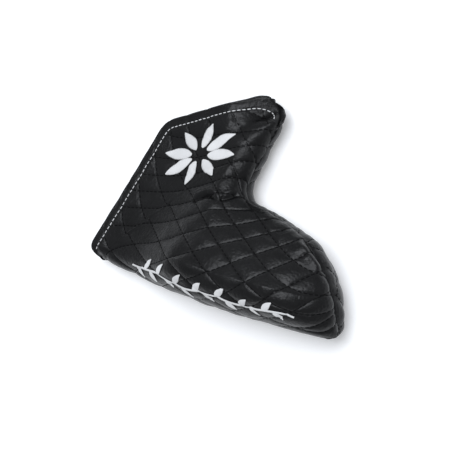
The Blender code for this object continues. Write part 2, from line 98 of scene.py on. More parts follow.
def runAlong(line):
    # distance from the start of a line to each of its points
    return np.concatenate(((0.0,), np.cumsum(np.linalg.norm(np.diff(line, axis=0), axis=1))))


def atRun(line, run, places):
    return np.stack([np.interp(places, run, line[:, axis]) for axis in range(line.shape[1])], axis=-1)


def bowed(start, end, bow, steps):
    start, end = np.array(start), np.array(end)
    share = np.linspace(0.0, 1.0, steps + 1)[:, None]
    along = end - start
    return start + along * share - leftOf(along) / np.linalg.norm(along) * bow * 4.0 * share * (1.0 - share)


def filleted(corners, radii, steps):
    points = [np.array(corners[0])]
    for before, corner, after, radius in zip(corners, corners[1:], corners[2:], radii):
        corner = np.array(corner)
        back = np.array(before) - corner
        ahead = np.array(after) - corner
        back, ahead = back / np.linalg.norm(back), ahead / np.linalg.norm(ahead)
        half = 0.5 * math.acos(float(np.clip(back @ ahead, -1.0, 1.0)))
        centre = corner + (back + ahead) / np.linalg.norm(back + ahead) * radius / math.sin(half)
        first = corner + back * radius / math.tan(half) - centre
        last = corner + ahead * radius / math.tan(half) - centre
        turn = math.pi - 2.0 * half
        for step in range(steps + 1):
            angle = turn * step / steps
            points.append(centre + (math.sin(turn - angle) * first + math.sin(angle) * last) / math.sin(turn))
    points.append(np.array(corners[-1]))
    return np.array(points)


def easedCorner(first, second, reach, steps):
    corner = first[-1]
    before = first[np.linalg.norm(first - corner, axis=1) > reach]
    after = second[np.linalg.norm(second - corner, axis=1) > reach]
    share = np.linspace(0.0, 1.0, steps + 1)[1:-1, None]
    curve = before[-1] * (1.0 - share) ** 2 + 2.0 * corner * share * (1.0 - share) + after[0] * share ** 2
    return np.concatenate((before, curve, after))


def resampled(line, share):
    run = runAlong(line)
    return atRun(line, run / run[-1], share)


def nearest(points, line, batch=8000):
    # distance from the line, the direction away from it to its left, and the place along it
    if len(points) > batch:
        parts = [nearest(points[start:start + batch], line) for start in range(0, len(points), batch)]
        return [np.concatenate(piece) for piece in zip(*parts)]
    start, along = line[:-1], line[1:] - line[:-1]
    offset = points[:, None, :] - start
    share = np.clip((offset * along).sum(-1) / (along * along).sum(-1), 0.0, 1.0)
    away = offset - along * share[..., None]
    gap = np.linalg.norm(away, axis=-1)
    pick = gap.argmin(axis=1)
    row = np.arange(len(points))
    left = unit(leftOf(along))
    corner = unit(np.concatenate((left[:1], left[:-1] + left[1:], left[-1:])))
    share = share[row, pick][:, None]
    plain = corner[pick] * (1.0 - share) + corner[pick + 1] * share
    gap, away = gap[row, pick], away[row, pick]
    gap = np.where((away * plain).sum(axis=-1) < 0.0, 0.0, gap)
    away = away / np.maximum(gap, 1e-6)[:, None]
    length = np.linalg.norm(along, axis=1)
    place = (np.cumsum(length) - length)[pick] + share[:, 0] * length[pick]
    return gap, np.where((gap < 1e-3)[:, None], plain, away), place


def shoulder(distance, width, power):
    share = np.clip(distance / width, 0.0, 1.0)
    return (1.0 - (1.0 - share) ** power) ** (1.0 / power)


o = outlineSizes
toeEnd = (o["soleLength"], o["heelEnd"][1])
sole = bowed(o["heelEnd"], toeEnd, o["soleBow"], 48)
toe = bowed(toeEnd, o["toeShoulder"], o["toeBulge"], 24)
topline = bowed(o["toeShoulder"], o["throat"], o["toplineBulge"], 24)
neck = bowed(o["throat"], o["neckEnd"], 0.0, 24)
hem = filleted((o["neckEnd"], o["peak"], o["bend"], o["knee"], o["heelEnd"]),
               (o["peakRadius"], o["bendRadius"], o["kneeRadius"]), 16)
upperRim = easedCorner(topline, neck, o["throatRound"], 16)[::-1]  # neck end, throat, toe shoulder
rimSeam = np.concatenate((toe, upperRim[::-1][1:]))
foldStart = np.array(o["heelEnd"])
foldAlong = np.array(o["neckEnd"]) - foldStart
foldLength = float(np.linalg.norm(foldAlong))
foldAlong = foldAlong / foldLength
foldAcross = -leftOf(foldAlong)
rolledHem = hem - foldAcross * hemSizes["roll"] * math.sin(hemSizes["curl"])
covered = np.concatenate((sole, rimSeam, hem, rolledHem))
middle = 0.5 * (covered.min(axis=0) + covered.max(axis=0))
hemRun = runAlong(hem)
shutEdge = hem[hemRun < formSizes["mouthShut"] + hemSizes["shutPast"]]
# the seam with the shut end of the mouth
shutRim = np.concatenate((rimSeam, hem[1:][hemRun[1:] < formSizes["mouthShut"]]))


def foldPlace(points):
    offset = points - foldStart
    return offset @ foldAcross, offset @ foldAlong / foldLength


def topHeight(points, fromSole):
    f = formSizes
    share = foldPlace(points)[1]
    neckward = smooth((share - f["neckRiseFrom"]) / (1.0 - f["neckRiseFrom"]))
    lip = mix(f["heelHeight"], f["neckHeight"], neckward)
    crest = mix(f["crestStart"], f["crestHeight"], smooth((points[:, 0] - foldStart[0]) / f["crestRun"]))
    rise = crest - f["frontFall"] * np.maximum(fromSole - f["crestFromSole"], 0.0) - lip
    return lip + 0.5 * (rise + np.sqrt(rise * rise + f["foldSoftness"] ** 2))


def seamHeight(points, fromSole):
    f = formSizes
    past, share = foldPlace(points)
    rise = smooth(past / f["seamRise"])
    heel = 0.5 * f["heelHeight"]
    upper = mix(heel, f["neckSeam"], smooth(share))
    mouthward = smooth((share - f["mouthDropFrom"]) / (1.0 - f["mouthDropFrom"]))
    upper = upper - f["mouthDrop"] * smooth(-past / f["mouthRun"]) * mouthward
    towardToe = smooth((points[:, 0] - outlineSizes["toeShoulder"][0]) / f["toeSeamRun"] + f["toeSeamLead"])
    upper = mix(upper, mix(f["bladeSeam"], f["toeSeam"], towardToe), rise)
    return mix(mix(heel, f["soleSeam"], rise), upper, smooth(fromSole / f["seamClimb"]))


def wallPoints(points, depth, front):
    # flat outline points, lifted to a depth under the top of the quilting
    f = formSizes
    shape = points.shape[:-1]
    points = points.reshape(-1, 2)
    depth = np.broadcast_to(depth, shape).reshape(-1)
    fromSole, offSole = nearest(points, sole)[:2]
    fromSeam, offSeam = nearest(points, shutRim)[:2]
    fromCorner = np.linalg.norm(points - np.array(toeEnd), axis=1)
    cut = np.clip(1.0 - fromCorner / f["toeCutReach"], 0.0, 1.0) ** 2 * f["toeCut"]
    points = points + np.outer(cut, f["toeCutWay"])
    past = foldPlace(points)[0]
    rise = smooth(past / f["seamRise"])
    onLip = smooth(-past / f["mouthRun"])
    pressed = f["mouthPress"] * onLip  # the mouth lies shut by the neck's end
    seam = seamHeight(points, fromSole)
    if front:
        soleWidth = mix(f["heelRound"], f["crestFromSole"], rise)
        seamWidth = mix(f["neckShoulder"], f["bladeShoulder"], rise) + pressed
        power = mix(f["shoulderPower"], 1.0, onLip)
        base = seam + 0.5 * f["seamGap"]
        top = topHeight(points, fromSole) - depth
    else:
        soleWidth = np.full(len(points), f["backRound"])
        seamWidth = soleWidth + pressed
        power = 2.0 - onLip
        base = seam - 0.5 * f["seamGap"]
        top = depth
    height = mix(base, top, shoulder(fromSole, soleWidth, 2.0) * shoulder(fromSeam, seamWidth, power))
    drawSole = depth * np.clip(1.0 - fromSole / soleWidth, 0.0, 1.0)
    drawSeam = depth * np.clip(1.0 - fromSeam / seamWidth, 0.0, 1.0)
    flat = points + offSole * drawSole[:, None] + offSeam * drawSeam[:, None] - middle
    return np.column_stack((flat, height)).reshape(shape + (3,))


# rows of the flat pattern: hem to fold, then fold to toe
def pocketRows(share, across):
    low, high = resampled(sole, share), resampled(upperRim, share)
    end = resampled(toe, across)
    lean = end - (end[0] + np.outer(across, end[-1] - end[0]))
    return low[:, None] + across[None, :, None] * (high - low)[:, None] + lean[None] * share[:, None, None]


def lipRows(share, across):
    edge = resampled(hem[::-1], across)
    fold = foldStart + np.outer(across * foldLength, foldAlong)
    return edge[None] + share[:, None, None] * (fold - edge)[None]


def evenShares(lengths, fine, count):
    run = np.concatenate(((0.0,), np.cumsum(lengths)))
    return np.interp(np.linspace(0.0, 1.0, count + 1), run / run[-1], fine)


def patternShares(front, rows, columns, samples=801):
    fine = np.linspace(0.0, 1.0, samples)
    slices = pocketRows(np.array((0.0, 0.2, 0.4, 0.6, 0.8)), fine)
    across = np.linalg.norm(np.diff(wallPoints(slices, 0.0, front), axis=1), axis=-1)
    across = (across / across.sum(axis=1, keepdims=True)).mean(axis=0)
    strips = pocketRows(fine, np.array((0.2, 0.35, 0.5, 0.65, 0.8)))
    along = np.linalg.norm(np.diff(wallPoints(strips, 0.0, front), axis=0), axis=-1)
    along = (along / along.sum(axis=0)).mean(axis=1)
    return evenShares(along, fine, rows), evenShares(across, fine, columns)


def mouthOpen(across, lag=0.0):
    # none at the pressed end beside the neck, whole further down the hem
    return smooth(((1.0 - across) * hemRun[-1] - hemSizes["shutFrom"]) / hemSizes["shutRun"] - lag)


def wallGrid(front, rows, columns, lipCount):
    # flat points, depth, count of turned-in rows, share across, and how open the mouth is there
    h = hemSizes
    share, across = patternShares(front, rows, columns)
    steps = np.linspace(0.0, 1.0, lipCount + 1)
    lip = lipRows(steps, across)
    pocket = pocketRows(share, across)[1:]
    edge, fold = lip[0], lip[-1]
    reach = np.linalg.norm(fold - edge, axis=1)
    opened = mouthOpen(across)
    ends = smooth(reach / h["taper"])
    taper = ends * opened
    outward = unit(leftOf(np.gradient(edge, axis=0)))
    flange = outward * (h["flange"] * ends * (1.0 - opened))[:, None]  # the pressed end of the hem
    lip = lip + flange[None] * (1.0 - steps[:, None, None]) ** 2
    edge = lip[0]
    inward = unit(fold - edge)
    thick = (h["flapDepth"] - h["bandDepth"]) * taper
    flat, depth = [], []
    for step in np.linspace(1.0, 0.0, h["flapCount"] + 1)[:-1]:
        flat.append(edge + inward * (np.minimum(h["turn"], h["turnShare"] * reach) * taper * step)[:, None])
        depth.append(h["bandDepth"] + thick)
    for angle in np.linspace(math.pi, 0.0, h["rollCount"] + 1)[:-1]:
        flat.append(edge + outward * (h["roll"] * taper * math.sin(angle))[:, None])
        depth.append(h["bandDepth"] + thick * 0.5 * (1.0 - math.cos(angle)))
    fromHem = np.linalg.norm(lip - edge, axis=-1)
    lead = h["bandDepth"] * (1.0 - smooth(fromHem / h["leadRun"]))
    depth = np.concatenate((np.array(depth), lead, np.zeros(pocket.shape[:2])))
    flat = np.concatenate((np.array(flat), lip, pocket))
    return flat, depth, h["flapCount"] + h["rollCount"], across, opened


def gridNormals(places, corner=18, turns=80):
    normal = np.cross(np.gradient(places, axis=0), np.gradient(places, axis=1))
    size = np.linalg.norm(normal, axis=-1)
    for column, beside in ((0, 1), (1, 2), (-1, -2), (-2, -3)):
        bad = size[:, column] < 1e-7
        normal[bad, column] = normal[bad, beside]
    normal = unit(normal)
    # the two corners of the toe take their direction from the edges beside them
    for columns in (slice(None, corner), slice(None, -corner - 1, -1)):
        patch = normal[:-corner - 1:-1, columns]
        for turn in range(turns):
            wide = np.pad(patch, ((1, 1), (1, 1), (0, 0)), mode="edge")
            around = unit(wide[:-2, 1:-1] + wide[2:, 1:-1] + wide[1:-1, :-2] + wide[1:-1, 2:])
            patch[:-1, :-1] = around[:-1, :-1]
    return normal


def spareLength(places, flat, axis, anchor):
    # how much longer the padded form is than its flat outline, from the anchor on
    solid = np.linalg.norm(np.diff(places, axis=axis), axis=-1)
    plain = np.linalg.norm(np.diff(flat, axis=axis), axis=-1)
    extra = np.cumsum(np.maximum(solid - plain, 0.0), axis=axis)
    extra = np.concatenate((np.zeros_like(np.take(extra, [0], axis=axis)), extra), axis=axis)
    return extra - np.take(extra, [anchor], axis=axis)


clothAnchor = {"across": 0.42, "along": 0.308}


def clothPlace(places, flat, hidden, foldRow, across):
    # place of each point on the cloth as it was cut, so that quilting keeps its size over the shoulders
    column = int(np.abs(across - clothAnchor["across"]).argmin())
    row = foldRow + int(clothAnchor["along"] * (len(flat) - foldRow - 1))
    cloth = flat + unit(np.gradient(flat, axis=1)) * spareLength(places, flat, 1, column)[..., None]
    outer = slice(hidden, None)
    run = spareLength(places[outer], flat[outer], 0, row - hidden)
    cloth[outer] += unit(np.gradient(flat[outer], axis=0)) * run[..., None]
    return cloth


def plainNoise(places, scale, seed):
    shift = Vector((seed * 17.3, seed * 5.1, seed * 9.7))
    flatPlaces = (places.reshape(-1, 3) / scale).tolist()
    return np.array([noise.noise(Vector(place) + shift) for place in flatPlaces]).reshape(places.shape[:-1])


def besideLine(points, line):
    # signed distance from a short line, positive on its left, and the share along it
    line = np.array(line)
    gap = np.full(points.shape[:-1], 1e9)
    side, place = np.zeros_like(gap), np.zeros_like(gap)
    for step, (start, end) in enumerate(zip(line, line[1:])):
        along = end - start
        share = np.clip((points - start) @ along / (along @ along), 0.0, 1.0)
        away = points - start - share[..., None] * along
        size = np.linalg.norm(away, axis=-1)
        closer = size < gap
        gap = np.where(closer, size, gap)
        side = np.where(closer, np.sign(along[0] * away[..., 1] - along[1] * away[..., 0]), side)
        place = np.where(closer, (step + share) / (len(line) - 1), place)
    return gap * side, place


def lowest(values, reach):
    # least value within a few rows and columns
    for axis in (0, 1):
        padding = [(0, 0), (0, 0)]
        padding[axis] = (reach, reach)
        padded = np.pad(values, padding, mode="edge")
        count = values.shape[axis]
        shifted = [np.take(padded, range(step, step + count), axis=axis) for step in range(2 * reach + 1)]
        values = np.min(shifted, axis=0)
    return values


# quilting: the back runs in plain rows, the front's rows bend over the padded form
quiltSizes = {
    "pitch": 13.7, "angle": math.radians(33.0), "puff": 0.85, "crown": 2.0, "crownEase": 0.75, "groove": 0.22,
    "grooveWidth": 0.55, "pitchLimits": (6.0, 20.0), "fullPitch": 11.0, "sizeLimits": (0.55, 1.1),
    "fullness": (0.72, 0.4), "bandPuff": 0.35,
    "risingRight": (-3.02, 6.97, -9.43, 7.88, -3.16, 5.63, 5.25, 11.79, -4.23, -9.23, -12.92, -2.52, 11.87, 6.83,
                    -4.71),
    "risingUp": (0.21, 0.40, 12.39, 4.50, -12.70, -6.04, 15.78, -24.78, 22.53, 7.89, -15.24, 0.58, -7.39, 6.13,
                 1.87),
}


def quiltPhase(cloth, front):
    # whole numbers fall on the two families of quilting lines
    q = quiltSizes
    if front:
        s, t = cloth[..., 0] / 100.0, cloth[..., 1] / 100.0
        powers = [(i, j) for i in range(5) for j in range(5 - i)]
        return [sum(factor * s ** i * t ** j for factor, (i, j) in zip(q[family], powers))
                for family in ("risingRight", "risingUp")]
    lean, rise = math.sin(q["angle"]), math.cos(q["angle"])
    return [(side * cloth[..., 0] * lean + cloth[..., 1] * rise) / q["pitch"] for side in (1.0, -1.0)]


def linePitch(phase, places):
    # distance on the surface between one line and the next
    alongRows, acrossRows = np.gradient(places, axis=0), np.gradient(places, axis=1)
    e, f, g = (alongRows ** 2).sum(-1), (alongRows * acrossRows).sum(-1), (acrossRows ** 2).sum(-1)
    p, r = np.gradient(phase, axis=0), np.gradient(phase, axis=1)
    slope = (g * p * p - 2.0 * f * p * r + e * r * r) / np.maximum(e * g - f * f, 1e-8)
    return np.clip(1.0 / np.sqrt(np.maximum(slope, 1e-6)), *quiltSizes["pitchLimits"])


def quiltHeight(cloth, places, front):
    q = quiltSizes
    phases = quiltPhase(cloth, front)
    pitches = [linePitch(phase, places) for phase in phases]
    offs = [np.abs(phase - np.round(phase)) for phase in phases]
    cell = np.sin(np.floor(phases[0]) * 12.9898 + np.floor(phases[1]) * 78.233) * 43758.5453  # one draw per diamond
    fullness = q["fullness"][0] + q["fullness"][1] * (cell - np.floor(cell))
    crowns = [1.0 - (1.0 - 2.0 * off) ** q["crown"] for off in offs]
    size = np.clip(np.minimum(*pitches) / q["fullPitch"], *q["sizeLimits"])
    line = np.minimum(offs[0] * pitches[0], offs[1] * pitches[1])
    puff = q["puff"] * size * ((crowns[0] * crowns[1]) ** q["crownEase"] * fullness - 1.0)
    return puff, q["groove"] * bell(line, q["grooveWidth"])


# creases pressed into the front, as lines on the cloth with the height beside them
creases = (
    {"line": ((54.5, 49.6), (58.5, 52.2), (64.6, 54.4), (69.4, 54.8), (74.5, 53.2)),
     "bumps": ((2.2, 1.7, 1.5), (-0.7, 1.1, -1.7))},
    {"line": ((74.0, 54.6), (77.0, 56.6), (79.5, 59.4), (81.5, 63.0)),
     "bumps": ((2.0, 1.4, 0.7), (-0.6, 1.0, -1.2))},
    {"line": ((125.5, 48.2), (131.0, 44.4), (136.0, 41.2), (141.5, 37.4), (145.5, 33.5)),
     "bumps": ((0.0, 1.0, -2.4), (2.6, 1.2, 0.9), (-2.8, 1.7, 1.3))},
    {"line": ((100.0, 51.0), (108.0, 46.0), (114.0, 42.0)), "bumps": ((0.0, 1.6, -0.5), (2.6, 2.2, 0.3))},
)
seamSizes = {
    "pinch": 2.2, "toePinch": 3.2, "toeRun": 60.0, "pinchWidth": 3.6, "pinchPower": 1.4, "pinchFade": 6.0,
    "lipShare": 0.35, "riseRun": 25.0, "cornerReach": 12.0, "solePinch": 0.7, "solePinchWidth": 2.0,
    "pucker": 0.8, "puckerRun": 4.2, "puckerReach": 9.0, "puckerStretch": 0.06,
}
lumpSizes = ((20.0, 0.55, 1), (7.0, 0.16, 2), (3.0, 0.05, 3))
skinSizes = {"front": (272, 200, 56), "back": (200, 160, 48), "thickness": 0.7, "thinReach": 5, "backLeast": 0.5,
             "hemFade": 1.5, "lumpFade": 6.0, "shutFade": 6.0, "shutRise": 3.0, "pressedBelow": 0.3, "pressedRows": 4}
stitchSizes = {"fromEdge": 4.2, "fromShutEnd": 2.4, "shutRun": 22.0, "channel": 0.4, "channelWidth": 0.8,
               "bandLead": 0.6, "bandFrom": 5.0, "past": 4.0, "fromSeam": 2.0, "clearOfHem": 1.0}
# the topstitch keeps its distance from the edge, straight down to the sole at the heel
downHem = unit(np.array(o["knee"]) - np.array(o["bend"]))
guideEnd = np.array(o["knee"]) + downHem * stitchSizes["past"]
stitchGuide = filleted((o["neckEnd"], o["peak"], o["bend"], guideEnd), (o["peakRadius"], o["bendRadius"]), 16)
stitchGuide = resampled(stitchGuide, np.linspace(0.0, 1.0, 160))
guideShare = smooth(runAlong(stitchGuide) / stitchSizes["shutRun"])
guideOff = mix(stitchSizes["fromShutEnd"], stitchSizes["fromEdge"], guideShare)
stitchLine = stitchGuide + leftOf(unit(np.gradient(stitchGuide, axis=0))) * guideOff[:, None]


def skinSurface(front, rows, columns, lipCount):
    k, seam = skinSizes, seamSizes
    flat, depth, hidden, across, opened = wallGrid(front, rows, columns, lipCount)
    foldRow = hidden + lipCount
    places = wallPoints(flat, depth, front)
    normals = gridNormals(places)
    pressed, below = opened < k["pressedBelow"], hidden + k["pressedRows"]
    normals[:below, pressed] = normals[below, pressed][None]
    if normals[-20, columns // 2, 2] * (1.0 if front else -1.0) < 0.0:
        normals = -normals
    cloth = clothPlace(places, flat, hidden, foldRow, across)
    shape = flat.shape[:2]
    points = flat.reshape(-1, 2)
    outer = np.ones(shape)
    outer[:hidden] = 0.0
    fromHem = np.abs(besideLine(flat, hem)[0])
    offStitch = besideLine(flat, stitchLine)[0]
    past = foldPlace(points)[0].reshape(shape)
    inBand = 1.0 - smooth((offStitch + stitchSizes["bandLead"]) / stitchSizes["bandFrom"])
    inBand = np.where(past < 0.0, inBand, 0.0)
    puff, groove = quiltHeight(cloth, places, front)
    height = puff * (1.0 - inBand * (1.0 - quiltSizes["bandPuff"])) - groove * (1.0 - 0.5 * inBand)
    height = height - stitchSizes["channel"] * bell(offStitch, stitchSizes["channelWidth"]) * outer
    height = height * smooth((fromHem + 0.2) / k["hemFade"])
    # the seam draws both walls in and gathers them
    fromSole = nearest(points, sole)[0]
    fromSeam, place = nearest(points, rimSeam)[::2]
    drop = np.abs(places[..., 2] - seamHeight(points, fromSole).reshape(shape))
    place = place.reshape(shape)
    seamArc, soleArc = (np.hypot(gap.reshape(shape), drop) for gap in (fromSeam, fromSole))
    rise = seam["lipShare"] + (1.0 - seam["lipShare"]) * smooth(past / seam["riseRun"])
    corner = smooth(np.linalg.norm(flat - np.array(toeEnd), axis=-1) / seam["cornerReach"])
    towardToe = smooth((flat[..., 0] - outlineSizes["throat"][0]) / seam["toeRun"])
    pinch = mix(seam["pinch"], seam["toePinch"], towardToe) * rise * corner
    inward = pinch * bell(seamArc, seam["pinchWidth"], seam["pinchPower"])
    inward = np.maximum(inward, seam["solePinch"] * corner * bell(soleArc, seam["solePinchWidth"], 1.5))
    height = height - inward * smooth(past / seam["pinchFade"] + 0.4)
    folds = np.stack((place / seam["puckerRun"], seamArc * seam["puckerStretch"], place * 0.0), axis=-1)
    near = bell(seamArc, seam["puckerReach"]) * rise
    height = height + seam["pucker"] * plainNoise(folds, 1.0, 4) * near * outer
    for crease in creases if front else ():
        off, share = besideLine(cloth, crease["line"])
        fade = np.sqrt(np.sin(np.pi * np.clip(share, 0.0, 1.0)))
        for centre, width, size in crease["bumps"]:
            height = height + size * fade * bell(off - centre, width) * outer
    for scale, size, seed in lumpSizes:
        height = height + size * plainNoise(places, scale, seed) * outer * smooth(fromHem / k["lumpFade"] + 0.3)
    # the pressed end of the hem stays flat
    fromShut = np.abs(besideLine(flat, shutEdge)[0])
    height = height * (1.0 - bell(fromShut, k["shutFade"]) * smooth(-past / k["shutRise"]))
    final = places + normals * height[..., None]
    under = places + normals * (lowest(height, k["thinReach"]) - k["thickness"])[..., None]
    if not front:
        final[..., 2] = np.maximum(final[..., 2], 0.0)
        under[..., 2] = np.maximum(under[..., 2], k["backLeast"])
    facing = gridNormals(final)
    facing = facing * np.sign((facing * normals).sum(axis=-1, keepdims=True) + 1e-9)
    return {"flat": flat, "places": final, "under": under, "normals": facing, "cloth": cloth, "hidden": hidden,
            "foldRow": foldRow, "fromHem": fromHem, "past": past, "seamArc": np.minimum(seamArc, soleArc),
            "front": front}


def placed(name, data):
    made = bpy.data.objects.new(name, data)
    bpy.context.scene.collection.objects.link(made)
    return made


def gridQuads(index):
    return np.stack((index[:-1, :-1], index[:-1, 1:], index[1:, 1:], index[1:, :-1]), axis=-1).reshape(-1, 4)


shellSizes = {"weld": 2e-6, "sliver": 1e-6, "skinStep": 4}


def closedShell(name, outside, inside, step, material):
    # two facing sheets joined round their edge, the inner one with every step-th row and column
    rows, columns = outside.shape[:2]
    index = np.arange(rows * columns).reshape(rows, columns)
    count = inside.shape[0] * inside.shape[1]
    inner = rows * columns + np.arange(count).reshape(inside.shape[:2])
    faces = gridQuads(index).tolist() + gridQuads(inner)[:, ::-1].tolist()
    for edge, under, turned in ((index[0], inner[0], True), (index[-1], inner[-1], False),
                                (index[:, 0], inner[:, 0], False), (index[:, -1], inner[:, -1], True)):
        for start in range(len(under) - 1):
            strip = edge[start * step:start * step + step + 1].tolist()
            strip += [int(under[start + 1]), int(under[start])]
            faces.append(strip[::-1] if turned else strip)
    mesh = bpy.data.meshes.new(name)
    verts = np.concatenate((outside.reshape(-1, 3), inside.reshape(-1, 3))) * toMetres
    mesh.from_pydata(verts.tolist(), [], faces)
    work = bmesh.new()
    work.from_mesh(mesh)
    bmesh.ops.remove_doubles(work, verts=work.verts[:], dist=shellSizes["weld"])
    bmesh.ops.dissolve_degenerate(work, edges=work.edges[:], dist=shellSizes["sliver"])
    if work.calc_volume(signed=True) < 0.0:
        bmesh.ops.reverse_faces(work, faces=work.faces[:])
    for face in work.faces:
        face.smooth = True
    work.to_mesh(mesh)
    work.free()
    mesh.materials.append(material)
    return placed(name, mesh)


# foam and lining: outer and inner depth, pile and finish
layerKinds = {"Foam": (4.4, 5.0, 0.0, "foamSponge"), "Lining": (5.2, 5.9, 0.25, "fleeceCloth")}
layerSizes = {"rows": 72, "columns": 60, "lipRows": 17, "fromHem": 2.4, "clearFrom": 9.0, "clearRun": 6.0,
              "shutLag": 0.4, "napScales": (1.6, 4.0)}


def layerShell(name, front, outDepth, inDepth, pile, material):
    # a layer inside the skin, held back from the hem
    k = layerSizes
    share, across = patternShares(front, k["rows"], k["columns"])
    edge, fold = lipRows(np.array((0.0, 1.0)), across)
    reach = np.linalg.norm(fold - edge, axis=1)
    start = np.clip(k["fromHem"] / np.maximum(reach, 1e-3), 0.0, 1.0)
    room = smooth((reach - k["clearFrom"]) / k["clearRun"]) * mouthOpen(across, k["shutLag"])
    start = mix(start, 1.0, 1.0 - room)
    steps = np.linspace(0.0, 1.0, k["lipRows"])[:, None]
    lip = edge + mix(start, 1.0, steps)[..., None] * (fold - edge)
    flat = np.concatenate((lip, pocketRows(share, across)[1:]))
    outside, inside = wallPoints(flat, outDepth, front), wallPoints(flat, inDepth, front)
    fine, coarse = k["napScales"]
    nap = pile * plainNoise(inside, fine, 7) + 0.5 * pile * plainNoise(inside, coarse, 8)
    inside[..., 2] += nap * (1.0 if front else -1.0)
    return closedShell(name, outside, inside, 1, material)


# finishes
def wire(tree, node, inputs):
    # each input is linked to a socket or set to a value
    for label, value in inputs.items():
        if isinstance(value, bpy.types.NodeSocket):
            tree.links.new(value, node.inputs[label])
        else:
            node.inputs[label].default_value = value
    return node


def addNode(tree, kind, inputs, **settings):
    node = tree.nodes.new(kind)
    for label, value in settings.items():
        setattr(node, label, value)
    return wire(tree, node, inputs)


def finish(name, colour, roughness, specular):
    made = bpy.data.materials.new(name)
    made.use_nodes = True
    tree = made.node_tree
    shader = wire(tree, tree.nodes["Principled BSDF"], {
        "Base Color": (*colour, 1.0), "Roughness": roughness, "Specular IOR Level": specular})
    return made, tree, shader


def noisePart(tree, scale, detail):
    coords = addNode(tree, "ShaderNodeTexCoord", {}).outputs["Object"]
    return addNode(tree, "ShaderNodeTexNoise", {"Vector": coords, "Scale": scale, "Detail": detail}).outputs["Fac"]


def vary(tree, socket, scale, low, high, detail=3.0, spread=(0.3, 0.7)):
    # slow noise between two values or two colours
    part = noisePart(tree, scale, detail)
    if socket.type == "RGBA":
        ramp = addNode(tree, "ShaderNodeValToRGB", {"Fac": part})
        for element, position, colour in zip(ramp.color_ramp.elements, spread, (low, high)):
            element.position, element.color = position, (*colour, 1.0)
        mixed = ramp.outputs["Color"]
    else:
        mixed = addNode(tree, "ShaderNodeMapRange", {
            "Value": part, "From Min": spread[0], "From Max": spread[1], "To Min": low, "To Max": high,
        }).outputs["Result"]
    tree.links.new(mixed, socket)


def grain(tree, shader, scale, detail, strength, distance):
    height = noisePart(tree, scale, detail)
    bump = addNode(tree, "ShaderNodeBump", {"Height": height, "Strength": strength, "Distance": distance})
    wire(tree, shader, {"Normal": bump.outputs["Normal"]})


finishSizes = {
    # two base colours, roughness, specular, then grain scale, detail, strength and depth
    "blackLeather": ((0.002, 0.002, 0.0022), (0.0045, 0.0045, 0.0048), (0.28, 0.42), 0.24,
                     (700.0, 6.0, 0.8, 0.0004)),
    "fleeceCloth": ((0.024, 0.024, 0.026), (0.040, 0.040, 0.043), (0.95, 1.0), 0.15, (1800.0, 5.0, 0.9, 0.0005)),
    "foamSponge": ((0.25, 0.25, 0.26), (0.32, 0.32, 0.33), (0.9, 1.0), 0.2, (2500.0, 3.0, 0.7, 0.0003)),
    "whiteThread": ((0.62, 0.62, 0.62), (0.7, 0.7, 0.7), (0.55, 0.7), 0.25, (4200.0, 2.0, 0.5, 0.0001)),
    "blackThread": ((0.002, 0.002, 0.0022), (0.005, 0.005, 0.0052), (0.6, 0.75), 0.08, (4200.0, 2.0, 0.5, 0.0001)),
    "hookPlastic": ((0.016, 0.016, 0.017), (0.024, 0.024, 0.025), (0.45, 0.6), 0.4, (900.0, 2.0, 0.3, 0.0001)),
    "loopPile": ((0.012, 0.012, 0.012), (0.022, 0.022, 0.022), (0.9, 1.0), 0.15, (2600.0, 4.0, 0.8, 0.0003)),
}
varySizes = {"colour": 55.0, "roughness": 180.0}
sheen = {"Sheen Weight": 0.35, "Sheen Roughness": 0.6}
finishes = {}
for name, (dark, light, rough, specular, grainSizes) in finishSizes.items():
    finishes[name], tree, shader = finish(name, dark, rough[0], specular)
    vary(tree, shader.inputs["Base Color"], varySizes["colour"], dark, light)
    vary(tree, shader.inputs["Roughness"], varySizes["roughness"], *rough)
    grain(tree, shader, *grainSizes)
    if name in ("fleeceCloth", "loopPile"):
        wire(tree, shader, sheen)
print("finishes made")

# walls: skin, foam and lining of each side
frontSkin, backSkin = skinSurface(True, *skinSizes["front"]), skinSurface(False, *skinSizes["back"])
pieces = {}
for key, surface in (("frontSkin", frontSkin), ("backSkin", backSkin)):
    step = shellSizes["skinStep"]
    inside = surface["under"][::step, ::step]
    pieces[key] = closedShell(key, surface["places"], inside, step, finishes["blackLeather"])
    print(key, len(pieces[key].data.polygons), "faces")
for kind, (outDepth, inDepth, pile, material) in layerKinds.items():
    for key, front in (("front" + kind, True), ("back" + kind, False)):
        pieces[key] = layerShell(key, front, outDepth, inDepth, pile, finishes[material])
print("layers made")

# thread: one tree lays rounded grains along, up and across as the points say
threadSizes = {
    "hem": {"width": 0.55, "height": 0.42, "pitch": 2.7, "dash": 1.9, "lift": 0.08},
    "quilt": {"width": 0.62, "height": 0.4, "pitch": 2.8, "dash": 2.1, "lift": 0.06},
    "seam": {"width": 0.5, "height": 0.5, "pitch": 3.2, "dash": 2.1, "lift": 0.0},
    "satin": {"width": 0.66, "height": 0.5, "pitch": 0.5, "lift": 0.34},
    "hook": {"width": 0.22, "height": 0.22, "pitch": 1.0, "dash": 0.6},
    "loop": {"width": 0.16, "height": 0.16, "pitch": 0.9, "dash": 1.1},
}


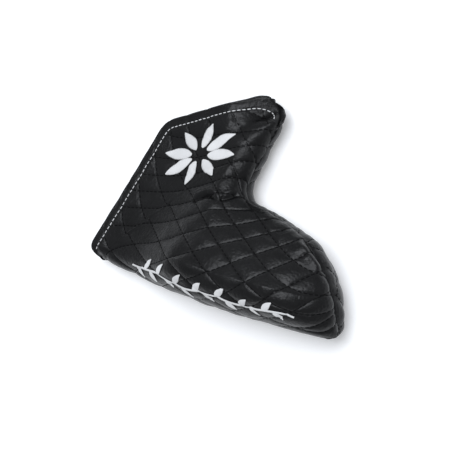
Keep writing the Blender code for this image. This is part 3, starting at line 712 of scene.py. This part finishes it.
def threadTree(material):
    tree = bpy.data.node_groups.new("threadGrains", "GeometryNodeTree")
    for label, side, kind in (("Geometry", "INPUT", "Geometry"), ("Thread width", "INPUT", "Float"),
                              ("Thread height", "INPUT", "Float"), ("Unevenness", "INPUT", "Float"),
                              ("Seed", "INPUT", "Int"), ("Geometry", "OUTPUT", "Geometry")):
        tree.interface.new_socket(label, in_out=side, socket_type="NodeSocket" + kind)

    def reckon(operation, first, second=0.0):
        return addNode(tree, "ShaderNodeMath", {0: first, 1: second}, operation=operation).outputs[0]

    given = addNode(tree, "NodeGroupInput", {}).outputs
    along, up, span = (
        addNode(tree, "GeometryNodeInputNamedAttribute", {"Name": label}, data_type=kind).outputs["Attribute"]
        for label, kind in (("along", "FLOAT_VECTOR"), ("up", "FLOAT_VECTOR"), ("span", "FLOAT")))
    ball = addNode(tree, "GeometryNodeMeshUVSphere", {"Segments": 6, "Rings": 6, "Radius": 0.5}).outputs["Mesh"]
    # rings pushed towards the ends, so that the grain has a long even middle
    place = addNode(tree, "GeometryNodeInputPosition", {}).outputs[0]
    apart = addNode(tree, "ShaderNodeSeparateXYZ", {0: place}).outputs
    spread = reckon("POWER", reckon("MULTIPLY", reckon("ABSOLUTE", apart["Z"]), 2.0), 0.5)
    height = reckon("MULTIPLY", reckon("MULTIPLY", spread, 0.5), reckon("SIGN", apart["Z"]))
    moved = addNode(tree, "ShaderNodeCombineXYZ", {"X": apart["X"], "Y": apart["Y"], "Z": height}).outputs[0]
    single = addNode(tree, "GeometryNodeSetPosition", {"Geometry": ball, "Position": moved}).outputs["Geometry"]
    # no two grains quite the same width
    uneven = addNode(tree, "FunctionNodeRandomValue", {"Seed": given["Seed"]}, data_type="FLOAT")
    ends = [socket for socket in uneven.inputs if socket.enabled and socket.name in ("Min", "Max")]
    for operation, socket in zip(("SUBTRACT", "ADD"), ends):
        tree.links.new(reckon(operation, 1.0, given["Unevenness"]), socket)
    factor = next(socket for socket in uneven.outputs if socket.enabled)
    width = reckon("MULTIPLY", given["Thread width"], factor)
    scale = addNode(tree, "ShaderNodeCombineXYZ", {"X": given["Thread height"], "Y": width, "Z": span}).outputs[0]
    turn = addNode(tree, "FunctionNodeAxesToRotation", {"Primary Axis": along, "Secondary Axis": up},
                   primary_axis="Z", secondary_axis="X").outputs["Rotation"]
    laid = addNode(tree, "GeometryNodeInstanceOnPoints", {
        "Points": given["Geometry"], "Instance": single, "Rotation": turn, "Scale": scale}).outputs["Instances"]
    real = addNode(tree, "GeometryNodeRealizeInstances", {"Geometry": laid}).outputs["Geometry"]
    soft = addNode(tree, "GeometryNodeSetShadeSmooth", {"Geometry": real}).outputs["Geometry"]
    dressed = addNode(tree, "GeometryNodeSetMaterial", {"Geometry": soft, "Material": material}).outputs["Geometry"]
    addNode(tree, "NodeGroupOutput", {"Geometry": dressed})
    return tree


def laidThread(name, grains, sizes, material, seed, unevenness=0.12):
    # grains is a list of place, along, up and length; the result is one plain mesh
    places, along, up, span = (np.array(part) for part in zip(*grains))
    mesh = bpy.data.meshes.new(name)
    mesh.from_pydata((places * toMetres).tolist(), [], [])
    for label, values in (("along", unit(along)), ("up", unit(up))):
        layer = mesh.attributes.new(label, "FLOAT_VECTOR", "POINT")
        layer.data.foreach_set("vector", values.astype(np.float32).ravel())
    layer = mesh.attributes.new("span", "FLOAT", "POINT")
    layer.data.foreach_set("value", (span * toMetres).astype(np.float32))
    holder = placed(name + "Points", mesh)
    tree = threadTree(material)
    modifier = holder.modifiers.new("grains", "NODES")
    modifier.node_group = tree
    values = {"Thread width": sizes["width"] * toMetres, "Thread height": sizes["height"] * toMetres,
              "Unevenness": unevenness, "Seed": seed}
    for item in tree.interface.items_tree:
        if item.in_out == "INPUT" and item.name in values:
            modifier[item.identifier] = values[item.name]
    graph = bpy.context.evaluated_depsgraph_get()
    solid = bpy.data.meshes.new_from_object(holder.evaluated_get(graph))
    bpy.data.objects.remove(holder)
    solid.name = name
    print(name, len(grains), "grains")
    return placed(name, solid)


def gridPlace(field, rows, columns):
    # bilinear value of a grid at fractional rows and columns
    low = np.clip(np.floor(rows).astype(int), 0, field.shape[0] - 2)
    left = np.clip(np.floor(columns).astype(int), 0, field.shape[1] - 2)
    r, c = rows - low, columns - left
    if field.ndim == 3:
        r, c = r[:, None], c[:, None]
    upper = field[low, left] * (1.0 - c) + field[low, left + 1] * c
    lower = field[low + 1, left] * (1.0 - c) + field[low + 1, left + 1] * c
    return upper * (1.0 - r) + lower * r


def sewnAlong(places, normals, sizes, keep=None):
    # evenly spaced stitches along a line on the skin
    run, half = runAlong(places), 0.5 * sizes["dash"]
    grains = []
    for middleRun in np.arange(0.5 * sizes["pitch"], run[-1] - half, sizes["pitch"]):
        if keep is not None and np.interp(middleRun, run, keep) < 0.5:
            continue
        start, centre, end = atRun(places, run, middleRun + np.array((-half, 0.0, half)))
        up = unit(atRun(normals, run, middleRun))
        centre = 0.25 * start + 0.5 * centre + 0.25 * end + up * sizes["lift"]
        grains.append((centre, end - start, up, np.linalg.norm(end - start)))
    return grains


def levelRuns(phase, shortest=6):
    # lines of whole-number phase over a grid, as runs of fractional rows and columns
    runs = []
    for level in range(math.ceil(phase.min()), math.floor(phase.max()) + 1):
        side = phase - level - 1e-7
        above = side > 0.0
        corners = above[:-1, :-1].astype(int) + above[1:, :-1] + above[:-1, 1:] + above[1:, 1:]
        links, spots = {}, {}
        for row, column in np.argwhere((corners > 0) & (corners < 4)):
            ends = []
            for first, second in (((0, 0), (0, 1)), ((0, 1), (1, 1)), ((1, 0), (1, 1)), ((0, 0), (1, 0))):
                a, b = (row + first[0], column + first[1]), (row + second[0], column + second[1])
                if above[a] != above[b]:
                    share = side[a] / (side[a] - side[b])
                    spots[(a, b)] = (a[0] + share * (b[0] - a[0]), a[1] + share * (b[1] - a[1]))
                    ends.append((a, b))
            for first, second in zip(ends[::2], ends[1::2]):
                links.setdefault(first, []).append(second)
                links.setdefault(second, []).append(first)
        while links:
            key = next((key for key, others in links.items() if len(others) == 1), next(iter(links)))
            run = [spots[key]]
            while links.get(key):
                following = links[key].pop()
                links[following].remove(key)
                if not links[key]:
                    del links[key]
                key = following
                run.append(spots[key])
            links = {key: others for key, others in links.items() if others}
            if len(run) > shortest:
                runs.append(np.array(run))
    return runs


def quiltStitches(surface, skip=2):
    hidden = surface["hidden"]
    places, normals, seamArc, fromHem, past, cloth = (
        surface[key][hidden:] for key in ("places", "normals", "seamArc", "fromHem", "past", "cloth"))
    offHem = (fromHem > stitchSizes["fromEdge"] + stitchSizes["clearOfHem"]) | (past > 0.0)
    clear = ((seamArc > stitchSizes["fromSeam"]) & offHem).astype(float)
    grains = []
    for phase in quiltPhase(cloth, surface["front"]):
        for run in levelRuns(phase[::skip, ::skip]):
            rows, columns = run[:, 0] * skip, run[:, 1] * skip
            fields = [gridPlace(field, rows, columns) for field in (places, normals, clear)]
            grains += sewnAlong(*fields[:2], threadSizes["quilt"], fields[2])
    return grains


def hemStitches(surface):
    # the stitch line found on the outer face of the wall
    hidden = surface["hidden"]
    flat = surface["flat"][hidden:]
    line = stitchLine[4:-2]
    tree = KDTree(flat.shape[0] * flat.shape[1])
    for index, point in enumerate(flat.reshape(-1, 2)):
        tree.insert((point[0], point[1], 0.0), index)
    tree.balance()
    places, normals = surface["places"][hidden:].reshape(-1, 3), surface["normals"][hidden:].reshape(-1, 3)
    found = []
    for point in line:
        near = tree.find_n((point[0], point[1], 0.0), 4)
        weights = np.array([1.0 / (gap + 1e-3) for spot, index, gap in near])
        indices = [index for spot, index, gap in near]
        found.append((weights @ places[indices] / weights.sum(), weights @ normals[indices] / weights.sum()))
    places, normals = (np.array(part) for part in zip(*found))
    return sewnAlong(places, normals, threadSizes["hem"])


for seed, key, surface in ((1, "frontHemStitches", frontSkin), (2, "backHemStitches", backSkin)):
    pieces[key] = laidThread(key, hemStitches(surface), threadSizes["hem"], finishes["whiteThread"], seed)
for key, surface in (("frontQuilting", frontSkin), ("backQuilting", backSkin)):
    pieces[key] = laidThread(key, quiltStitches(surface), threadSizes["quilt"], finishes["blackThread"], 3)


def rimLine(surface, count=600):
    first, field = surface["foldRow"], surface["places"]
    line = np.concatenate((field[first:, 0], field[-1, 1:], field[-2:first - 1:-1, -1]))
    return resampled(line, np.linspace(0.0, 1.0, count))


rimMiddle = 0.5 * (rimLine(frontSkin) + rimLine(backSkin))
rimStitches = sewnAlong(rimMiddle, np.tile((0.0, 0.0, 1.0), (len(rimMiddle), 1)), threadSizes["seam"])
pieces["seamStitches"] = laidThread("seamStitches", rimStitches, threadSizes["seam"], finishes["blackThread"], 4)

# white satin stitch: petals on the neck and a leafy sprig along the sole, drawn on the cloth
hidden = frontSkin["hidden"]
clothPoints = np.pad(frontSkin["cloth"][hidden:], ((0, 0), (0, 0), (0, 1)))
clothIndex = np.arange(clothPoints.shape[0] * clothPoints.shape[1]).reshape(clothPoints.shape[:2])
clothQuads = gridQuads(clothIndex)
clothFaces = np.concatenate((clothQuads[:, [0, 1, 2]], clothQuads[:, [0, 2, 3]]))
clothPoints = clothPoints.reshape(-1, 3)
clothTree = BVHTree.FromPolygons(clothPoints.tolist(), clothFaces.tolist())
skinPlaces, skinNormals = (frontSkin[key][hidden:].reshape(-1, 3) for key in ("places", "normals"))


def onSkin(point):
    hit = clothTree.find_nearest(Vector((point[0], point[1], 0.0)))
    corners = clothFaces[hit[2]]
    a, b, c = clothPoints[corners]
    share = np.linalg.lstsq(np.stack((b - a, c - a), axis=1)[:2], (np.array(hit[0]) - a)[:2], rcond=None)[0]
    weights = np.array((1.0 - share.sum(), share[0], share[1]))
    return weights @ skinPlaces[corners], unit(weights @ skinNormals[corners])


def satin(left, right):
    # strands laid side by side between two edges drawn on the cloth
    grains = []
    for first, second in zip(left, right):
        places, ups = zip(*(onSkin(point) for point in (first, 0.5 * (first + second), second)))
        across = places[2] - places[0]
        up = unit(ups[0] + ups[1] + ups[2])
        centre = 0.25 * places[0] + 0.5 * places[1] + 0.25 * places[2] + up * threadSizes["satin"]["lift"]
        grains.append((centre, across, up, max(np.linalg.norm(across), 0.7)))
    return grains


def leaf(base, heading, length, width, lean=0.35):
    along = np.array((math.cos(heading), math.sin(heading)))
    side = leftOf(along)
    share = np.linspace(0.03, 0.97, max(int(length / threadSizes["satin"]["pitch"]), 6))
    half = 0.5 * width * np.sin(np.pi * share ** 0.85) ** 0.8
    spine = np.array(base) + np.outer(share * length, along)
    slant = np.outer(half * lean, along)
    return satin(spine + np.outer(half, side) + slant, spine - np.outer(half, side) - slant)


def stem(line, width):
    count = max(int(runAlong(line)[-1] / threadSizes["satin"]["pitch"]), 6)
    line = resampled(line, np.linspace(0.0, 1.0, count))
    ahead = unit(np.gradient(line, axis=0))
    side = leftOf(ahead) * 0.5 * width
    return satin(line + side + ahead * 0.25, line - side - ahead * 0.25)


rosetteSizes = {"centre": (48.1, 75.3), "turn": math.radians(20.0), "halfWidth": 26.0, "halfHeight": 15.5,
                "petals": 8, "from": 0.22, "petalWidth": 6.4}
sprigSizes = {
    "start": 27.0, "end": 138.0, "middle": 6.2, "dip": 4.2, "sway": 1.0, "swayRun": 40.0, "stemWidth": 1.3,
    "points": 120, "leaves": 15, "firstLeaf": 4, "leafSpan": 112, "leafLength": 11.0, "leafWidth": 3.8,
    "leafAngle": math.radians(48.0), "shrink": 0.35, "lowerShare": 0.8,
}
r = rosetteSizes
rosette = []
for number in range(r["petals"]):
    angle = 2.0 * math.pi * (number + 0.5) / r["petals"]
    reachOut = np.array((r["halfWidth"] * math.cos(angle), r["halfHeight"] * math.sin(angle)))
    spun = reachOut * math.cos(r["turn"]) + leftOf(reachOut) * math.sin(r["turn"])
    base = np.array(r["centre"]) + spun * r["from"]
    length = np.linalg.norm(spun) * (1.0 - r["from"])
    rosette += leaf(base, math.atan2(spun[1], spun[0]), length, r["petalWidth"])
s = sprigSizes
sprigRun = np.linspace(s["start"], s["end"], s["points"])
sprigDip = s["dip"] * np.sin(np.pi * (sprigRun - s["start"]) / (s["end"] - s["start"]))
sprigSway = s["sway"] * np.sin(2.0 * np.pi * sprigRun / s["swayRun"])
sprigLine = np.column_stack((sprigRun, s["middle"] - sprigDip + sprigSway))
sprig = stem(sprigLine, s["stemWidth"])
for number in range(s["leaves"]):
    place = sprigLine[int(s["firstLeaf"] + number * s["leafSpan"] / s["leaves"])]
    upward = 1.0 if number % 2 else -1.0
    grow = s["leafLength"] * (1.0 - s["shrink"] * number / s["leaves"])
    sprig += leaf(place, upward * s["leafAngle"], grow * (1.0 if upward > 0.0 else s["lowerShare"]), s["leafWidth"])
pieces["rosette"] = laidThread("rosette", rosette, threadSizes["satin"], finishes["whiteThread"], 5)
pieces["sprig"] = laidThread("sprig", sprig, threadSizes["satin"], finishes["whiteThread"], 6)

# closing tapes inside the mouth
tapeSizes = {"length": 36.0, "width": 13.0, "fromEdge": 10.5, "fromBend": 8.0, "outDepth": 6.25, "inDepth": 6.65,
             "counts": (13, 6), "swing": 0.3, "hookLift": 0.4, "loopLift": 0.12}


def tapeGrid(rows, columns, depth, front):
    t = tapeSizes
    inward = leftOf(downHem)
    corner = np.array(outlineSizes["bend"]) + downHem * t["fromBend"] + inward * t["fromEdge"]
    flat = (corner + np.linspace(0.0, t["length"], rows)[:, None, None] * downHem
            + np.linspace(0.0, t["width"], columns)[None, :, None] * inward)
    return wallPoints(flat, depth, front)


rolls = np.random.default_rng(11)
for key, front, material in (("hookTape", True, "hookPlastic"), ("loopTape", False, "loopPile")):
    sizes = threadSizes["hook" if front else "loop"]
    counts = [int(tapeSizes[side] / sizes["pitch"]) for side in ("length", "width")]
    feet = tapeGrid(*counts, tapeSizes["inDepth"], front)[1:-1, 1:-1].reshape(-1, 3)
    inside = np.array((0.0, 0.0, -1.0 if front else 1.0))
    grains = []
    for foot in feet:
        swing = rolls.uniform(-1.0, 1.0, 3)
        lie = unit(inside + tapeSizes["swing"] * swing) if front else unit(swing * (1.0, 1.0, 0.2))
        lift = tapeSizes["hookLift"] * sizes["dash"] if front else tapeSizes["loopLift"]
        grains.append((foot + inside * lift, lie, unit(np.cross(lie, (0.31, 0.17, 0.94))), sizes["dash"]))
    pile = laidThread(key + "Pile", grains, sizes, finishes[material], 8)
    sheets = [tapeGrid(*tapeSizes["counts"], tapeSizes[depth], front) for depth in ("outDepth", "inDepth")]
    pieces[key], pieces[key + "Pile"] = closedShell(key, *sheets, 1, finishes[material]), pile

# how the pieces are held: the front wall's pieces keep their transform baked in and take no body, the hook tape rides
# with the lip, all else with the pocket
bending = ("frontSkin", "frontFoam", "frontLining", "frontHemStitches", "frontQuilting", "rosette")
standIns = {"frontSkin": ("front_outer_panel", "front_lip_panel"), "backSkin": ("back_outer_panel",),
            "frontFoam": ("front_foam_layer", "front_lip_foam"), "backFoam": ("back_foam_layer",),
            "frontLining": ("front_fleece_lining", "front_lip_lining"), "backLining": ("back_fleece_lining",),
            "frontHemStitches": ("front_hem_topstitch",), "backHemStitches": ("back_hem_topstitch",),
            "seamStitches": ("edge_seam_thread",), "hookTape": ("hook_tape",), "loopTape": ("loop_tape",)}
for name, piece in pieces.items():
    if name in bending:
        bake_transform(piece)
    else:
        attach(piece, "lip" if name.startswith("hookTape") else "pocket")
    if name in standIns:
        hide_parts(*standIns[name])
print(len(pieces), "pieces placed")


# camera, floor and light
cameraSizes = {"tilt": 29.4, "lean": 1.11, "roll": 15.59, "lens": 85.0, "sensor": 36.0, "frameWidth": 0.2382,
               "aim": (-0.00045, -0.01361, 0.01515)}
tilt, lean, roll = (math.radians(cameraSizes[key]) for key in ("tilt", "lean", "roll"))
uphill = Vector((math.cos(lean), math.sin(lean), 0.0))
sideways = Vector((-math.sin(lean), math.cos(lean), 0.0))
toCamera = uphill * math.sin(tilt) + Vector((0.0, 0.0, math.cos(tilt)))
alongSlope = uphill * math.cos(tilt) - Vector((0.0, 0.0, math.sin(tilt)))
imageRight = alongSlope * math.cos(roll) + sideways * math.sin(roll)
imageUp = sideways * math.cos(roll) - alongSlope * math.sin(roll)
cameraData = bpy.data.cameras.new("photoCamera")
cameraData.lens = cameraSizes["lens"]
cameraData.sensor_width = cameraSizes["sensor"]
camera = placed("photoCamera", cameraData)
distance = cameraSizes["frameWidth"] * cameraSizes["lens"] / cameraSizes["sensor"]
camera.matrix_world = Matrix([
    (imageRight[axis], imageUp[axis], toCamera[axis], cameraSizes["aim"][axis] + toCamera[axis] * distance)
    for axis in range(3)] + [(0.0, 0.0, 0.0, 1.0)])
bpy.context.scene.camera = camera

floorSizes = {"half": 3.0, "drop": 0.0002, "shades": (0.915, 0.925), "shadeScale": 3.0, "glow": 0.18}
half = floorSizes["half"]
floorCorners = [(x, y, -floorSizes["drop"]) for x, y in ((-half, -half), (half, -half), (half, half), (-half, half))]
floorMesh = bpy.data.meshes.new("floor")
floorMesh.from_pydata(floorCorners, [], [(0, 1, 2, 3)])
dark, light = ((shade,) * 3 for shade in floorSizes["shades"])
floorPaint, tree, shader = finish("floorPaint", dark, 1.0, 0.0)
vary(tree, shader.inputs["Base Color"], floorSizes["shadeScale"], dark, light)
wire(tree, shader, {"Emission Color": (1.0, 1.0, 1.0, 1.0), "Emission Strength": floorSizes["glow"]})
floorMesh.materials.append(floorPaint)
floor = placed("floor", floorMesh)

lightSizes = {"distance": 1.1, "size": (0.8, 0.8), "power": 10.9, "world": 0.5, "tint": (0.95, 0.98, 1.03),
              "way": (1.1, 0.42, 0.42)}
out, up, left = lightSizes["way"]
keyWay = (toCamera * out + imageUp * up - imageRight * left).normalized()
aim = Vector(cameraSizes["aim"])
lamp = bpy.data.lights.new("softbox", "AREA")
lamp.shape, (lamp.size, lamp.size_y) = "RECTANGLE", lightSizes["size"]
lamp.energy, lamp.color = lightSizes["power"], lightSizes["tint"]
softbox = placed("softbox", lamp)
softbox.location = aim + keyWay * lightSizes["distance"]
softbox.rotation_euler = (aim - softbox.location).to_track_quat("-Z", "Y").to_euler()
world = bpy.data.worlds.new("studio")
bpy.context.scene.world = world
world.use_nodes = True
wire(world.node_tree, world.node_tree.nodes["Background"], {
    "Color": (*lightSizes["tint"], 1.0), "Strength": lightSizes["world"]})
bpy.context.scene.view_settings.view_transform = "Standard"
